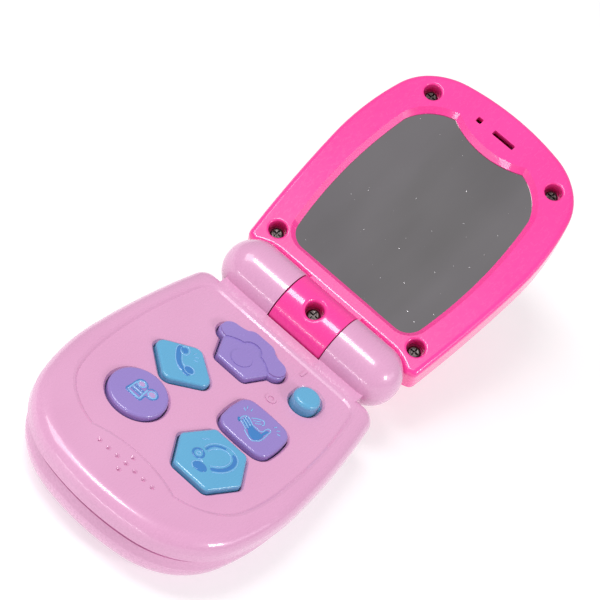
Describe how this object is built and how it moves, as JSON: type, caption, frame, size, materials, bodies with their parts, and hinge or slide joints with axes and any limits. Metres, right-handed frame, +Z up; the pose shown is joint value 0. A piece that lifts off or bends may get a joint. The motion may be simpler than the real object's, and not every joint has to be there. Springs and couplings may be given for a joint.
{
  "type": "toy cell phone",
  "caption": "Pink toy flip phone: keypad base with shaped push buttons and a slide switch, barrel hinge, and a hot pink lid framing a mirror",
  "frame": {"origin": "middle of the flat underside of the base, on the battery cover", "axes": "+X to the phone's right, +Y from the mouthpiece end to the hinge, +Z up out of the keypad; the lid is open at rest"},
  "size_m": [0.0862, 0.2151, 0.0742],
  "materials": {
    "base_pink": "glossy injection-moulded plastic, light pink",
    "lid_pink": "glossy injection-moulded plastic, hot pink",
    "key_purple": "glossy moulded plastic, lilac",
    "key_blue": "glossy moulded plastic, sky blue",
    "mirror": "thin plastic safety mirror sheet",
    "screw_steel": "dark zinc-plated steel",
    "pin_steel": "bright steel rod",
    "contact_metal": "nickel-plated spring steel",
    "cell": "printed metal jacket, plain",
    "board": "glass-epoxy circuit board, green",
    "black": "black resin and plastic",
    "speaker": "pressed frame with a paper cone",
    "dome_rubber": "translucent silicone rubber"
  },
  "bodies": {
    "base": {"base_top_shell": "base_pink", "base_bottom_shell": "base_pink", "battery_cover": "base_pink", "battery_cover_screw": "screw_steel", "base_screws": "screw_steel", "board_screws": "screw_steel", "batteries": "cell", "battery_contacts": "contact_metal", "battery_springs": "contact_metal", "circuit_board": "board", "sound_chip": "black", "speaker": "speaker", "switch_body": "black", "call_dome": "dome_rubber", "clap_dome": "dome_rubber", "music_dome": "dome_rubber", "headphone_dome": "dome_rubber", "phone_dome": "dome_rubber", "hinge_pin_left": "pin_steel", "hinge_pin_right": "pin_steel"},
    "lid": {"lid_front_frame": "lid_pink", "lid_back_shell": "lid_pink", "mirror": "mirror", "lid_screws": "screw_steel", "hinge_block_screw": "screw_steel"},
    "phone_key": {"phone_button": "key_purple"},
    "call_key": {"call_button": "key_blue"},
    "clap_key": {"clap_button": "key_purple"},
    "music_key": {"music_button": "key_purple"},
    "headphone_key": {"headphone_button": "key_blue"},
    "switch": {"switch_knob": "key_blue"}
  },
  "joints": [
    {"name": "lid_hinge", "type": "hinge", "parent": "base", "child": "lid", "pos_m": [0, 0.057, 0.0256], "axis": [1, 0, 0], "range_deg": [0, 152.3]},
    {"name": "phone_press", "type": "slide", "parent": "base", "child": "phone_key", "axis": [0, 0, 1], "range_m": [-0.0012, 0], "stiffness_N_per_m": 500, "springref_m": 0.0003, "deforming": ["phone_dome"]},
    {"name": "call_press", "type": "slide", "parent": "base", "child": "call_key", "axis": [0, 0, 1], "range_m": [-0.0012, 0], "stiffness_N_per_m": 500, "springref_m": 0.0003, "deforming": ["call_dome"]},
    {"name": "clap_press", "type": "slide", "parent": "base", "child": "clap_key", "axis": [0, 0, 1], "range_m": [-0.0012, 0], "stiffness_N_per_m": 500, "springref_m": 0.0003, "deforming": ["clap_dome"]},
    {"name": "music_press", "type": "slide", "parent": "base", "child": "music_key", "axis": [0, 0, 1], "range_m": [-0.0012, 0], "stiffness_N_per_m": 500, "springref_m": 0.0003, "deforming": ["music_dome"]},
    {"name": "headphone_press", "type": "slide", "parent": "base", "child": "headphone_key", "axis": [0, 0, 1], "range_m": [-0.0012, 0], "stiffness_N_per_m": 500, "springref_m": 0.0003, "deforming": ["headphone_dome"]},
    {"name": "switch_slide", "type": "slide", "parent": "base", "child": "switch", "axis": [0, 1, 0], "range_m": [0, 0.003]}
  ]
}
